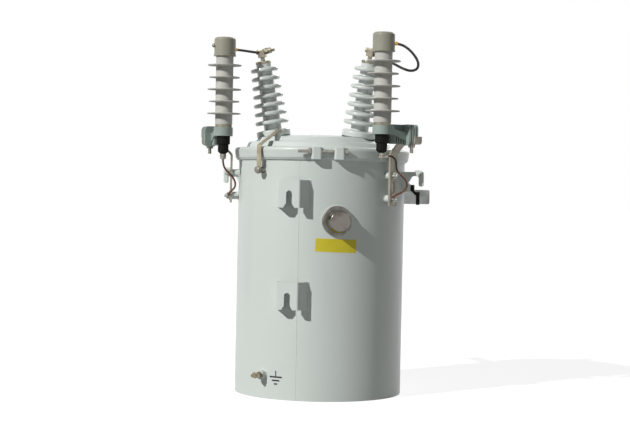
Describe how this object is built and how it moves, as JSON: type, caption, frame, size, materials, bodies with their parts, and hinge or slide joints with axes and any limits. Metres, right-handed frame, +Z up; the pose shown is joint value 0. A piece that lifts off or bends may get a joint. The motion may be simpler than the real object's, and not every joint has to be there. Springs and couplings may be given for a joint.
{
  "type": "pole mounted transformer",
  "caption": "Round single-phase pole transformer with tilted bushings, surge arresters on brackets, pole hangers and lifting hooks.",
  "frame": {"origin": "tank axis at the level of the tank's foot", "axes": "+Z up; the pole side with the hangers faces -Y, the lifting hooks lie along X, the low-voltage side faces +Y"},
  "size_m": [0.6714, 0.685, 1.0386],
  "materials": {
    "tank_paint": "satin",
    "porcelain": "gloss",
    "gasket": "matt",
    "bronze": "dull",
    "polymer": "matt",
    "cap_plastic": "satin",
    "bracket_resin": "satin",
    "bolt_steel": "galvanised",
    "black_plastic": "matt",
    "end_fitting": "satin",
    "strap_steel": "galvanised",
    "tinned_copper": "tinned",
    "stainless": "polished",
    "core_steel": "varnished",
    "line_lead": "satin",
    "ground_lead": "dull"
  },
  "bodies": {
    "transformer": {"arrester_base_ring_left": "end_fitting", "arrester_base_ring_right": "end_fitting", "arrester_bracket_left": "bracket_resin", "arrester_bracket_right": "bracket_resin", "arrester_cap_left": "cap_plastic", "arrester_cap_right": "cap_plastic", "arrester_housing_left": "polymer", "arrester_housing_right": "polymer", "arrester_strap_left": "strap_steel", "arrester_strap_right": "strap_steel", "band_bolt": "bolt_steel", "bracket_bolt_left": "bolt_steel", "bracket_bolt_right": "bolt_steel", "breaker_gland": "tank_paint", "core_and_coils": "core_steel", "cover": "tank_paint", "cover_clamp_band": "tank_paint", "cover_ground_strap": "tinned_copper", "disconnector_left": "black_plastic", "disconnector_right": "black_plastic", "disconnector_stud_left": "bolt_steel", "disconnector_stud_right": "bolt_steel", "ground_lead_left": "ground_lead", "ground_lead_right": "ground_lead", "ground_strap_bolts": "bolt_steel", "hv_bushing_left": "porcelain", "hv_bushing_right": "porcelain", "hv_gasket_left": "gasket", "hv_gasket_right": "gasket", "hv_terminal_left": "bronze", "hv_terminal_right": "bronze", "lifting_hook_left": "tank_paint", "lifting_hook_right": "tank_paint", "line_lead_left": "line_lead", "line_lead_right": "line_lead", "lower_hanger": "tank_paint", "lv_bushings": "porcelain", "lv_terminals": "tinned_copper", "strap_studs_left": "tank_paint", "strap_studs_right": "tank_paint", "tank_bottom": "tank_paint", "tank_ground_boss": "tank_paint", "tank_ground_clamp": "bronze", "tank_wall": "tank_paint", "tap_changer_cap": "stainless", "tap_changer_flange": "bolt_steel", "upper_hanger": "tank_paint"},
    "handle": {"breaker_handle": "black_plastic"}
  },
  "joints": [
    {"name": "breaker_turn", "type": "hinge", "parent": "transformer", "child": "handle", "pos_m": [0.26097, 0.04602, 0.607], "axis": [0.9848, 0.1736, 0], "range_deg": [0, 60]}
  ]
}
